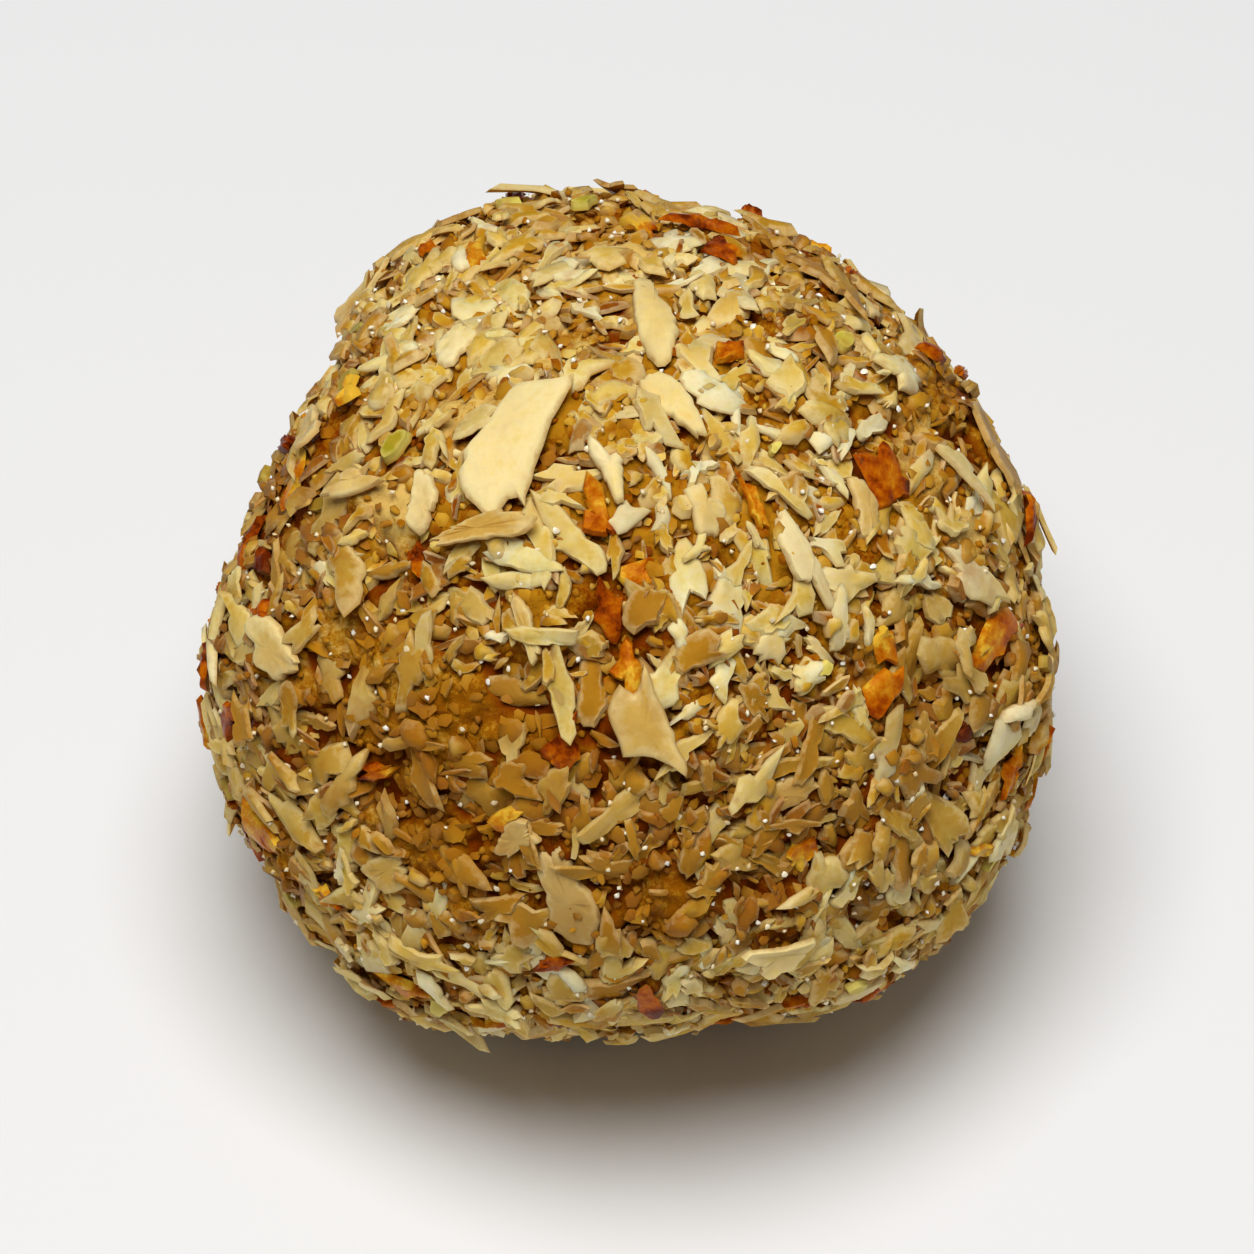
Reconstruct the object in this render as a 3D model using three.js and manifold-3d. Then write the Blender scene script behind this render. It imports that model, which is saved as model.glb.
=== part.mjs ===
// A hand-rolled sweet ball of oat, puffed lotus seed and date paste, rolled in chopped nuts.
// It is pressed by the palms into soft facets, and has sunk flat where it rests.
// Millimetres, +Z up. The origin is the middle of the flat base, and the front faces -Y.
import * as THREE from 'three';
import { mergeVertices } from 'three/addons/utils/BufferGeometryUtils.js';
import Module from 'manifold-3d';

// The ball: a sphere of paste, whose centre is the heart.
const BALL_RADIUS = 23.4;
const HEART_HEIGHT = 20.4;
const PRESS_SHARPNESS = 20; // how tightly the surface turns from the ball into a pressed facet

// Each press is a facet left by a palm, or by what the ball rests on. Azimuth 0 is the front and
// 90 the right, height is the angle above the horizon, and reach is the facet's distance from the
// heart.
const PRESSES = [
  { azimuth: 0, height: -90, reach: 21.6 },
  { azimuth: 5, height: -40, reach: 20.6 },
  { azimuth: -110, height: 16, reach: 19.6 },
  { azimuth: 94, height: 3, reach: 21.9 },
  { azimuth: 118, height: 21, reach: 21.6 },
  { azimuth: 151, height: 36, reach: 22.5 },
  { azimuth: -68, height: -16, reach: 22.6 },
  { azimuth: -36, height: 20, reach: 22.0 },
  { azimuth: 42, height: 24, reach: 22.6 },
  { azimuth: 178, height: -14, reach: 21.6 },
  { azimuth: -150, height: 72, reach: 22.6 },
];

// The crumb: the paste's own relief, left by oat and nut too fine to be pieces of their own.
const PASTE_DIVISIONS = 10; // each of an icosahedron's 20 faces becomes 11 x 11
const CRUMB_DEPTH = 0.9;
const LUMP_DEPTH = 0.3;
const LUMP_WAVES = [[6.2, 3.4, 4.6], [-5.2, 6.8, 2.2], [2.6, -5.8, 7.4]];

// Almond flakes: the largest pieces, each placed where it shows. Turn is the angle of its length
// from the level line, seen from outside.
const FLAKE_THICKNESS = 0.75;
const FLAKES = [
  { azimuth: -50, height: 70, length: 8.2, width: 4.6, turn: 105 },
  { azimuth: 139, height: 84, length: 7.0, width: 2.2, turn: 140 },
  { azimuth: 31, height: 78, length: 4.6, width: 2.2, turn: 100 },
  { azimuth: -51, height: 57, length: 3.4, width: 2.6, turn: 145 },
  { azimuth: -66, height: 52, length: 5.0, width: 1.4, turn: 60 },
  { azimuth: -18, height: 49, length: 3.8, width: 1.6, turn: 115 },
  { azimuth: 3, height: 39, length: 5.4, width: 3.2, turn: 125 },
  { azimuth: 19, height: 3, length: 4.2, width: 2.6, turn: 175 },
  { azimuth: 33, height: -16, length: 4.2, width: 2.6, turn: 165 },
  { azimuth: -7, height: 14, length: 6.2, width: 3.4, turn: 115 },
  { azimuth: 118, height: 74, length: 3.8, width: 3.2, turn: 15 },
  { azimuth: 23, height: 64, length: 3.2, width: 2.2, turn: 75 },
  { azimuth: 59, height: 52, length: 3.8, width: 1.8, turn: 60 },
  { azimuth: 39, height: 52, length: 6.4, width: 2.0, turn: 85 },
  { azimuth: -35, height: 58, length: 6.2, width: 1.8, turn: 35 },
  { azimuth: -60, height: 28, length: 5.4, width: 3.0, turn: 20 },
  { azimuth: 121, height: 52, length: 4.0, width: 2.2, turn: 15 },
  { azimuth: -100, height: 68, length: 3.8, width: 2.6, turn: 175 },
  { azimuth: 163, height: 58, length: 6.4, width: 2.4, turn: 5 },
  { azimuth: -87, height: 47, length: 3.4, width: 3.0, turn: 135 },
  { azimuth: 24, height: 25, length: 3.4, width: 1.8, turn: 0 },
  { azimuth: -14, height: 22, length: 3.4, width: 2.0, turn: 35 },
  { azimuth: -33, height: 8, length: 5.2, width: 2.4, turn: 55 },
  { azimuth: -5, height: 70, length: 4.2, width: 1.8, turn: 120 },
  { azimuth: 72, height: 6, length: 5.6, width: 3.0, turn: 70 },
  { azimuth: 96, height: 34, length: 6.4, width: 3.8, turn: 10 },
  { azimuth: 112, height: -8, length: 5.0, width: 3.2, turn: 75 },
  { azimuth: 142, height: 16, length: 7.0, width: 4.4, turn: 150 },
  { azimuth: -176, height: 30, length: 5.8, width: 3.4, turn: 35 },
  { azimuth: -162, height: -4, length: 6.2, width: 4.0, turn: 100 },
  { azimuth: -134, height: 36, length: 6.6, width: 3.8, turn: 160 },
  { azimuth: -122, height: -12, length: 5.0, width: 2.8, turn: 50 },
  { azimuth: -84, height: 8, length: 5.4, width: 3.2, turn: 60 },
  { azimuth: 160, height: -20, length: 4.6, width: 2.6, turn: 20 },
];

// Nut chips: smaller shards of the same coating, spread evenly all round by the golden angle.
const CHIP_COUNT = 212;
const CHIP_LENGTH = [2.8, 5.4];
const CHIP_SLENDERNESS = [0.5, 0.9]; // width over length
const CHIP_THICKNESS = [0.35, 0.75];
const CHIP_TILT = 0.26; // radians, either way
const CHIP_CLEARANCE = 0.12; // radians from the middle of a chip to that of the nearest flake
const LOWEST_CHIP = -0.86; // sine of the height below which the base has pressed the chips flush
const GOLDEN_ANGLE = Math.PI * (3 - Math.sqrt(5));

const FLAKE_CORNERS = 9;
const CHIP_CORNERS = 5;
const JAGGEDNESS = 0.3; // how far a broken edge steps in and out, as a share of its radius
const CORNER_WANDER = 0.5; // how far a corner strays round the edge, as a share of an even spacing
const ROOT_DEPTH = 1.1; // how far a flake's solid reaches into the paste, which holds it

const SLOPE_STEP = 0.02; // radians either side, over which the surface's slope is read
const SAME_POINT = 1e-4; // vertices closer than this are one

// What each random draw is for. A piece's own number and the purpose settle the draw, and an
// outline's corners take the numbers from theirs on. Flakes are numbered from theirs, chips from 0.
const DRAW = {
  crumb: 1, length: 2, turn: 3, pitch: 4, roll: 5, slenderness: 6, lift: 7, cornerAngle: 20, cornerBite: 40,
};
const FIRST_FLAKE = 1000;

const radians = THREE.MathUtils.degToRad;

// A steady draw from 0 to 1: the same for the same piece and purpose every time.
const draw = (piece, purpose) => {
  const wave = Math.sin(piece * 127.1 + purpose * 311.7) * 43758.5453;
  return wave - Math.floor(wave);
};
const drawEitherWay = (piece, purpose) => 2 * draw(piece, purpose) - 1;
const drawBetween = ([low, high], piece, purpose) => low + (high - low) * draw(piece, purpose);

const towards = (azimuth, height) => new THREE.Vector3(
  Math.sin(radians(azimuth)) * Math.cos(radians(height)),
  -Math.cos(radians(azimuth)) * Math.cos(radians(height)),
  Math.sin(radians(height)),
);

const facets = PRESSES.map(({ azimuth, height, reach }) => ({ normal: towards(azimuth, height), reach }));
const heart = new THREE.Vector3(0, 0, HEART_HEIGHT);

// Distance from the heart to the pressed ball's surface: the ball and its facets, rounded together.
function reachOfPaste(direction) {
  let sum = BALL_RADIUS ** -PRESS_SHARPNESS;
  for (const { normal, reach } of facets) {
    sum += (Math.max(0, direction.dot(normal)) / reach) ** PRESS_SHARPNESS;
  }
  return sum ** (-1 / PRESS_SHARPNESS);
}

const pointOfPaste = (direction) => direction.clone().multiplyScalar(reachOfPaste(direction)).add(heart);

// The frame of a piece lying on the paste: its length and width axes, and the normal facing out.
function seatOnPaste(direction, turn) {
  const level = new THREE.Vector3(-direction.y, direction.x, 0).normalize();
  const rise = new THREE.Vector3().crossVectors(direction, level);
  const beside = (axis, way) => pointOfPaste(
    direction.clone().addScaledVector(axis, way * SLOPE_STEP).normalize(),
  );
  const along = beside(level, 1).sub(beside(level, -1));
  const up = beside(rise, 1).sub(beside(rise, -1));
  const normal = new THREE.Vector3().crossVectors(along, up).normalize();
  const lengthAxis = along.normalize().applyAxisAngle(normal, turn);
  const widthAxis = new THREE.Vector3().crossVectors(normal, lengthAxis);
  return { lengthAxis, widthAxis, normal };
}

// A closed three.js geometry as a manifold-3d solid, and a solid as a geometry again.
const wasm = await Module();
wasm.setup();

function solidOf(geometry) {
  const bare = geometry.clone();
  bare.deleteAttribute('normal');
  bare.deleteAttribute('uv');
  const merged = mergeVertices(bare, SAME_POINT);
  return new wasm.Manifold(new wasm.Mesh({
    numProp: 3,
    vertProperties: merged.getAttribute('position').array,
    triVerts: new Uint32Array(merged.index.array),
  }));
}

function geometryOf(solid) {
  const mesh = solid.getMesh();
  const geometry = new THREE.BufferGeometry();
  geometry.setAttribute('position', new THREE.BufferAttribute(mesh.vertProperties, 3));
  geometry.setIndex(new THREE.BufferAttribute(mesh.triVerts, 1));
  geometry.computeVertexNormals();
  return geometry;
}

// The paste: the pressed ball, with lumps as wide as a fingertip and a crumb as fine as its faces.
function makePaste() {
  const rough = new THREE.IcosahedronGeometry(1, PASTE_DIVISIONS);
  rough.deleteAttribute('normal');
  rough.deleteAttribute('uv');
  const ball = mergeVertices(rough, SAME_POINT);
  const place = ball.getAttribute('position');
  const direction = new THREE.Vector3();
  for (let i = 0; i < place.count; i += 1) {
    direction.fromBufferAttribute(place, i).normalize();
    const lumps = LUMP_WAVES.reduce((sum, [x, y, z], wave) => (
      sum + Math.sin(wave + x * direction.x + y * direction.y + z * direction.z)
    ), 0) / LUMP_WAVES.length;
    const relief = LUMP_DEPTH * lumps + 0.5 * CRUMB_DEPTH * drawEitherWay(i, DRAW.crumb);
    const reach = reachOfPaste(direction) + relief;
    place.setXYZ(i, direction.x * reach, direction.y * reach, HEART_HEIGHT + direction.z * reach);
  }
  return solidOf(ball);
}

// A broken, angular outline in the plane of a flake, longest along x.
function brokenOutline(length, width, corners, piece) {
  const outline = new THREE.Shape();
  for (let corner = 0; corner < corners; corner += 1) {
    const stray = 0.5 * CORNER_WANDER * drawEitherWay(piece, DRAW.cornerAngle + corner);
    const angle = ((corner + stray) / corners) * 2 * Math.PI;
    const bite = 1 - JAGGEDNESS * draw(piece, DRAW.cornerBite + corner);
    const x = 0.5 * length * bite * Math.cos(angle);
    const y = 0.5 * width * bite * Math.sin(angle);
    if (corner === 0) outline.moveTo(x, y);
    else outline.lineTo(x, y);
  }
  outline.closePath();
  return outline;
}

// One piece of the coating, seated on the paste along a direction, standing proud of it by its lift.
function makeShard({ direction, turn, tilt = [0, 0], length, width, lift, corners, piece }) {
  const depth = ROOT_DEPTH + lift;
  const shard = new THREE.ExtrudeGeometry(brokenOutline(length, width, corners, piece), {
    depth, bevelEnabled: false, steps: 1,
  });
  shard.translate(0, 0, -ROOT_DEPTH);
  shard.rotateX(tilt[0]);
  shard.rotateY(tilt[1]);
  const { lengthAxis, widthAxis, normal } = seatOnPaste(direction, turn);
  const seat = new THREE.Matrix4().makeBasis(lengthAxis, widthAxis, normal);
  seat.setPosition(pointOfPaste(direction));
  return solidOf(shard.applyMatrix4(seat));
}

const flakeDirections = FLAKES.map(({ azimuth, height }) => towards(azimuth, height));

const makeFlakes = () => FLAKES.map((flake, index) => makeShard({
  ...flake,
  direction: flakeDirections[index],
  turn: radians(flake.turn),
  lift: FLAKE_THICKNESS,
  corners: FLAKE_CORNERS,
  piece: FIRST_FLAKE + index,
}));

function makeChips() {
  const chips = [];
  for (let i = 0; i < CHIP_COUNT; i += 1) {
    const sine = 1 - (2 * i + 1) / CHIP_COUNT;
    if (sine < LOWEST_CHIP) break;
    const azimuth = i * GOLDEN_ANGLE;
    const cosine = Math.sqrt(1 - sine * sine);
    const direction = new THREE.Vector3(Math.sin(azimuth) * cosine, -Math.cos(azimuth) * cosine, sine);
    if (flakeDirections.some((flake) => flake.angleTo(direction) < CHIP_CLEARANCE)) continue;
    const length = drawBetween(CHIP_LENGTH, i, DRAW.length);
    chips.push(makeShard({
      direction,
      turn: draw(i, DRAW.turn) * Math.PI,
      tilt: [CHIP_TILT * drawEitherWay(i, DRAW.pitch), CHIP_TILT * drawEitherWay(i, DRAW.roll)],
      length,
      width: length * drawBetween(CHIP_SLENDERNESS, i, DRAW.slenderness),
      lift: drawBetween(CHIP_THICKNESS, i, DRAW.lift),
      corners: CHIP_CORNERS,
      piece: i,
    }));
  }
  return chips;
}

// Everything below the plane of rest, cut away so that the ball stands on one flat face.
function makeUnderneath() {
  const depth = BALL_RADIUS;
  const width = 4 * BALL_RADIUS;
  const block = new THREE.BoxGeometry(width, width, depth);
  block.translate(0, 0, -0.5 * depth);
  return solidOf(block);
}

// The coating is stuck to the paste, so the whole ball is one body. Where chips bridge a dent they
// would seal a hollow: keeping the outer surface alone fills it.
function makeLadoo() {
  const coated = [...makeFlakes(), ...makeChips()].reduce((body, shard) => body.add(shard), makePaste());
  const bodies = coated.subtract(makeUnderneath()).decompose();
  return bodies.reduce((largest, body) => (body.volume() > largest.volume() ? body : largest));
}

const ladoo = new THREE.Mesh(
  geometryOf(makeLadoo()),
  new THREE.MeshStandardMaterial({ color: 0xa57e41, roughness: 0.78, metalness: 0 }),
);
ladoo.name = 'ladoo';
ladoo.geometry.computeBoundingBox();
const middle = ladoo.geometry.boundingBox.getCenter(new THREE.Vector3());
ladoo.position.set(-middle.x, -middle.y, 0);

const sweet = new THREE.Group();
sweet.add(ladoo);

export default sweet;
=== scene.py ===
# An oat makhana ladoo: a ball of oat, puffed lotus seed and date paste, rolled between the palms
# and then in chopped nuts, which stick to it as a jagged coat. Metres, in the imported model's frame.
import math

import bpy
import numpy as np
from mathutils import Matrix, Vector
from mathutils.bvhtree import BVHTree


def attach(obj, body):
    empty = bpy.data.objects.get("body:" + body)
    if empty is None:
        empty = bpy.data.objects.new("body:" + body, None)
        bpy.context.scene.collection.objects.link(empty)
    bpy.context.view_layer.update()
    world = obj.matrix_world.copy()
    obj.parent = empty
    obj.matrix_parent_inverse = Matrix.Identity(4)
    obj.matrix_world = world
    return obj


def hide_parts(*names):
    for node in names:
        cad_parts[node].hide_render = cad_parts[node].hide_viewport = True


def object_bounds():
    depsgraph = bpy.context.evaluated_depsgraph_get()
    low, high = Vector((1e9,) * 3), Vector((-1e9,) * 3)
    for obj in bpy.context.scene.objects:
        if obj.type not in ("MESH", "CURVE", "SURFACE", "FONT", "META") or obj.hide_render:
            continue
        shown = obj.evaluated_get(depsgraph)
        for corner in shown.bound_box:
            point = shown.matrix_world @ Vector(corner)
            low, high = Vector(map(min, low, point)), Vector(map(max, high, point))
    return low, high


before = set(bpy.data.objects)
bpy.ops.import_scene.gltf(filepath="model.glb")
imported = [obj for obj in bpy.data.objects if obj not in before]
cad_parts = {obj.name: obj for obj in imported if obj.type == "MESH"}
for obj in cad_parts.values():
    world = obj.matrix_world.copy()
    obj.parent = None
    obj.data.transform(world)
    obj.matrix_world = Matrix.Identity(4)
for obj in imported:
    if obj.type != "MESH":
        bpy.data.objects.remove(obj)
cad_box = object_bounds()

# The camera looks down on the front of the sweet from arm's length, through a long lens that is
# aimed at the middle of the ball.
CAMERA_ELEVATION = math.radians(50)
CAMERA_DISTANCE = 0.385
CAMERA_LENS = 205  # millimetres, on the sensor below
CAMERA_SENSOR = 36
CAMERA_CLEAR = 0.01  # nothing nearer to the lens than this is seen
VIEW_AIM = Vector((0.0002, 0.0, 0.0212))


def add_object(name, data):
    added = bpy.data.objects.new(name, data)
    bpy.context.scene.collection.objects.link(added)
    return added


camera_data = bpy.data.cameras.new("camera")
camera_data.lens = CAMERA_LENS
camera_data.sensor_width = CAMERA_SENSOR
camera_data.clip_start = CAMERA_CLEAR
camera = add_object("camera", camera_data)
camera_way = Vector((0, -math.cos(CAMERA_ELEVATION), math.sin(CAMERA_ELEVATION)))
camera.location = VIEW_AIM + CAMERA_DISTANCE * camera_way
camera.rotation_euler = (math.radians(90) - CAMERA_ELEVATION, 0, 0)
bpy.context.scene.camera = camera


# The paste is rolled oat, ground puffed lotus seed and mashed date, pressed into a ball by hand.
# Palms leave it in soft facets, it sinks flat where it rests, and its crumb is lumpy all over.
# Here and there it is smeared up over the coat, and shows as bare patches.
MM = 0.001
HEART = Vector((0.09, 0.35, 20.4)) * MM  # the point the ball is rolled about
ROLLING_RADIUS = 26 * MM  # a sphere that clears the ball all round, to be shrunk onto it
CORE_LEVELS = 7  # 2 ** 7 quads along each edge of the starting cube
SMOOTHING_ROUNDS = 200  # enough to melt the solid's chips back into the ball
PASTE_BASE = 0.4 * MM  # the underside of the paste, which the coat lifts off the plane of rest

KNEADED_SINK = 0.10 * MM  # the paste lies this much under the mean of the coat
LUMP_DEPTH, LUMP_SPACING = 0.22 * MM, 6.5 * MM
CLOD_DEPTH, CLOD_SPACING = 0.17 * MM, 2.8 * MM
CRUMB_DEPTH, CRUMB_SPACING = 0.14 * MM, 1.3 * MM
GRIT_DEPTH, GRIT_SPACING = 0.07 * MM, 0.75 * MM
SMEARED_FLATTER = 0.2  # the share of clods and crumbs that smearing takes away
BARE_RISE = 0.42 * MM  # how far smeared paste stands over the roots of the coat
COAT_DEPTH = 0.9 * MM  # from the deepest pit, which is painted darkest as painted shade, to a clean top

PATCH_COLUMNS = ("azimuth", "height", "level", "upwards", "share")


def table(columns, rows):
    """The rows as dictionaries, by the columns' names. A row may leave out its last values."""
    return [dict(zip(columns, row)) for row in rows]


# Where the paste is smeared over the coat: azimuth from the front towards the right, and height
# above the horizon, then the patch's half width level and upwards, all in degrees.
BARE_PATCHES = table(PATCH_COLUMNS, [
    (-35, 28, 14, 15),
    (-48, 34, 8, 8),
    (-25, 13, 9, 7),
    (-18, 32, 9, 8),
    (5, 12, 6, 5),
    (44, 30, 4, 8),
    (-178, 71, 7, 6),
    (90, 45, 10, 9),
    (72, 36, 6, 6),
    (-57, 53, 5, 5),
    (-100, 83, 5, 5),
    (-54, -2, 8, 6),
    (74, 8, 7, 8),
    (122, 6, 13, 10),
    (166, 26, 12, 9),
    (-128, 12, 10, 13),
    (-150, 43, 9, 10),
    (-172, -22, 10, 7),
])
PATCH_REACH = 1.35  # where a patch has faded to nothing, over its half widths
STRAY_SMEARS = 0.42  # how strong the smears between the patches are
STRAY_SPACING = 0.42  # how far apart they lie, as a share of the ball's radius
STRAY_RARITY = 0.35  # how much of them stays hidden
RAGGED_EDGE = 0.26  # how uneven the patches' edges are
RAGGED_SPACING = 0.16
SMEAR_FIRMNESS = 1.5  # how soon a smear is at its full thickness

# Where the mixture is darker, with more date in it. A fifth value, its share, makes a patch mild.
BROWN_PATCHES = table(PATCH_COLUMNS, [
    (-32, 28, 16, 14),
    (-14, 30, 13, 11),
    (-25, 13, 9, 9),
    (-54, -4, 12, 10),
    (8, 12, 12, 9),
    (28, 20, 14, 10),
    (38, 9, 14, 8),
    (-58, 14, 12, 9, 0.5),
    (51, 29, 11, 12),
    (92, 67, 11, 9, 0.5),
    (9, 50, 8, 6, 0.4),
    # The wide patches at azimuths -84 and 108 darken the flanks seen from the front, partly as painted
    # shade.
    (-84, 35, 16, 17),
    (-42, 41, 10, 7),
    (108, 42, 16, 13),
    (137, 54, 12, 8),
    (130, 0, 12, 12),
    (-140, 14, 14, 12),
    (176, 44, 10, 8),
])

# Where it is paler, with more nut and puffed seed in it.
PALE_PATCHES = table(PATCH_COLUMNS, [
    (76, 45, 12, 8),
    (51, 60, 12, 8),
    (34, 45, 9, 7),
    (-172, 68, 10, 8),
])
PALE_STRENGTH = 0.7

# The coat is browner round a belt under the shoulder, as painted shade, and paler towards the crown, as
# painted
# # light from above. The heights are sines of the angle above the horizon.
BELT_HEIGHT = 0.42
BELT_SPREAD = 0.3
BELT_PAINTED_SHADE = 0.33
BELT_STRAY, BELT_SPACING = 0.4, 0.9
CROWN_HEIGHT = 0.75
CROWN_PAINTED_LIGHT = 1.9
MIXED_STRAY, MIXED_SPACING = 0.24, 0.3  # how unevenly the date is mixed in all over
PALEST = -0.5


def select_only(piece):
    bpy.ops.object.select_all(action="DESELECT")
    piece.select_set(True)
    bpy.context.view_layer.objects.active = piece


def apply_modifiers(piece):
    select_only(piece)
    for modifier in list(piece.modifiers):
        bpy.ops.object.modifier_apply(modifier=modifier.name)


def vertex_places(piece):
    places = np.empty(len(piece.data.vertices) * 3)
    piece.data.vertices.foreach_get("co", places)
    return places.reshape(-1, 3)


def move_vertices(piece, places):
    piece.data.vertices.foreach_set("co", places.ravel())
    piece.data.update()


def normalised(vectors):
    return vectors / np.linalg.norm(vectors, axis=-1, keepdims=True)


def towards(azimuth, height):
    """Unit vector for an azimuth and height in degrees: 0, 0 is the front, and 90, 0 the right."""
    turn, rise = np.radians(azimuth), np.radians(height)
    return np.stack([np.sin(turn) * np.cos(rise), -np.cos(turn) * np.cos(rise), np.sin(rise)], axis=-1)


def wavy_field(places, grain, seed, count=28):
    """A smooth random field with a spread of 1, whose lumps are about half a grain across."""
    draw = np.random.default_rng(seed)
    ways = normalised(draw.normal(size=(count, 3)))
    waves = ways * (2 * math.pi / (grain * draw.uniform(0.7, 1.4, (count, 1))))
    phases = draw.uniform(0, 2 * math.pi, count)
    return np.sin(places @ waves.T + phases).sum(axis=1) / math.sqrt(count / 2)


def nearness(directions, patches):
    """How deep inside the nearest patch each direction is: from 0, outside, to 1."""
    nearest = np.zeros(len(directions))
    for patch in patches:
        middle = towards(patch["azimuth"], patch["height"])
        level = normalised(np.cross((0, 0, 1), middle))
        rise = np.cross(middle, level)
        across = (directions @ level) / math.sin(math.radians(patch["level"]))
        upwards = (directions @ rise) / math.sin(math.radians(patch["upwards"]))
        inside = np.clip(PATCH_REACH - np.sqrt(across ** 2 + upwards ** 2), 0, 1)
        inside *= directions @ middle > 0
        inside *= patch.get("share", 1)
        nearest = np.maximum(nearest, inside)
    return nearest


def bareness(directions):
    """How much paste is smeared over the coat along each direction, from 0 to 1."""
    placed = nearness(directions, BARE_PATCHES)
    stray = STRAY_SMEARS * wavy_field(directions, STRAY_SPACING, seed=2) - STRAY_RARITY
    ragged = RAGGED_EDGE * wavy_field(directions, RAGGED_SPACING, seed=3) * (placed > 0)
    return np.clip((np.maximum(placed, stray) + ragged) * SMEAR_FIRMNESS, 0, 1)


def brownness_and_painted_light(directions):
    """How much darker the coat is coloured along each direction, from 0 to 1, and under 0 where paler: the
    brown and pale patches of the mixture, with painted shade round the belt and painted light towards the
    crown.
    """
    height = directions[:, 2]
    belt_shade = BELT_PAINTED_SHADE * np.exp(-((height - BELT_HEIGHT) / BELT_SPREAD) ** 2)
    crown_light_and_pale_patches = CROWN_PAINTED_LIGHT * np.maximum(height - CROWN_HEIGHT, 0)
    crown_light_and_pale_patches += PALE_STRENGTH * nearness(directions, PALE_PATCHES)
    mixed = nearness(directions, BROWN_PATCHES)
    mixed += MIXED_STRAY * wavy_field(directions, MIXED_SPACING, seed=4)
    belt_shade *= 1 + BELT_STRAY * wavy_field(directions, BELT_SPACING, seed=5)
    return np.clip(mixed + belt_shade - crown_light_and_pale_patches, PALEST, 1)


def merged_copy(node_name):
    copy = add_object(node_name + "_copy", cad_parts[node_name].data.copy())
    select_only(copy)
    bpy.ops.object.mode_set(mode="EDIT")
    bpy.ops.mesh.select_all(action="SELECT")
    bpy.ops.mesh.remove_doubles(threshold=0.001 * MM)
    bpy.ops.object.mode_set(mode="OBJECT")
    return copy


def roll_ball():
    """An even, closed ball of small quads about the heart, larger than the sweet."""
    bpy.ops.object.select_all(action="DESELECT")
    bpy.ops.mesh.primitive_cube_add(size=2)
    ball = bpy.context.object
    ball.name = "paste_ball"
    quarters = ball.modifiers.new("quarters", "SUBSURF")
    quarters.subdivision_type = "SIMPLE"
    quarters.levels = CORE_LEVELS
    quarters.render_levels = CORE_LEVELS
    apply_modifiers(ball)
    rounded = normalised(np.tan(vertex_places(ball) * math.pi / 4))
    move_vertices(ball, rounded * ROLLING_RADIUS + np.array(HEART))
    return ball


def press_to_form(ball):
    """Shrinks the ball onto the solid and melts its chips, so that the palms' facets are left."""
    solid = merged_copy("ladoo")
    shrink = ball.modifiers.new("shrink", "SHRINKWRAP")
    shrink.target = solid
    shrink.wrap_method = "PROJECT"
    shrink.use_negative_direction = True
    shrink.use_positive_direction = False
    melt = ball.modifiers.new("melt", "SMOOTH")
    melt.factor = 0.5
    melt.iterations = SMOOTHING_ROUNDS
    apply_modifiers(ball)
    bpy.data.objects.remove(solid)


def surface_of(piece, places):
    return BVHTree.FromPolygons(places.tolist(), [tuple(face.vertices) for face in piece.data.polygons])


def store(piece, name, values):
    attribute = piece.data.attributes.new(name, "FLOAT", "POINT")
    attribute.data.foreach_set("value", np.ascontiguousarray(values, dtype=np.float32).ravel())


def smooth_by_angle(piece, degrees):
    select_only(piece)
    bpy.ops.object.shade_smooth_by_angle(angle=math.radians(degrees))


paste = roll_ball()
press_to_form(paste)
form_places = vertex_places(paste)
form_surface = surface_of(paste, form_places)

out_from_heart = normalised(form_places - np.array(HEART))
paste_bare = bareness(out_from_heart)
broken = 1 - SMEARED_FLATTER * paste_bare
relief = LUMP_DEPTH * wavy_field(form_places, LUMP_SPACING, seed=11)
relief += CLOD_DEPTH * broken * wavy_field(form_places, CLOD_SPACING, seed=12)
relief += CRUMB_DEPTH * broken * wavy_field(form_places, CRUMB_SPACING, seed=13)
relief += GRIT_DEPTH * wavy_field(form_places, GRIT_SPACING, seed=14)
depth_in_coat = relief.copy()
relief += BARE_RISE * paste_bare - KNEADED_SINK
paste_places = form_places + out_from_heart * relief[:, None]
paste_places[:, 2] = np.maximum(paste_places[:, 2], PASTE_BASE)
move_vertices(paste, paste_places)
store(paste, "bare", paste_bare)
store(paste, "brown_and_painted_light", brownness_and_painted_light(out_from_heart))
# The paste is painted darker in the coat's pits: painted shade.
store(paste, "pit_shade", np.clip(0.5 - depth_in_coat / COAT_DEPTH, 0, 1))
smooth_by_angle(paste, 180)
paste_surface = surface_of(paste, paste_places)


SCATTER = (1.0, 0.6, 0.25)  # how far red, green and blue light spread, over a finish's reach


def new_finish(name, roughness, subsurface=0.0, reach=MM, specular=0.1, gloss=(1.0, 1.0, 1.0)):
    """A material with one Principled shader. The values that are the same all over are set on it."""
    finish = bpy.data.materials.new(name)
    finish.use_nodes = True
    shader = finish.node_tree.nodes["Principled BSDF"]
    shader.inputs["Roughness"].default_value = roughness
    shader.inputs["Specular IOR Level"].default_value = specular
    shader.inputs["Specular Tint"].default_value = (*gloss, 1)
    shader.inputs["Subsurface Weight"].default_value = subsurface
    shader.inputs["Subsurface Radius"].default_value = SCATTER
    shader.inputs["Subsurface Scale"].default_value = reach
    return finish, shader


def add_node(finish, kind, **settings):
    node = finish.node_tree.nodes.new(kind)
    for name, value in settings.items():
        setattr(node, name, value)
    return node


def feed(finish, value, socket):
    """Gives a socket a number, a linear red, green, blue, or another node's output."""
    if isinstance(value, (int, float)):
        socket.default_value = value
    elif isinstance(value, tuple):
        socket.default_value = (*value, 1)
    else:
        finish.node_tree.links.new(value, socket)


def attribute_value(finish, name):
    return add_node(finish, "ShaderNodeAttribute", attribute_name=name).outputs["Fac"]


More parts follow.
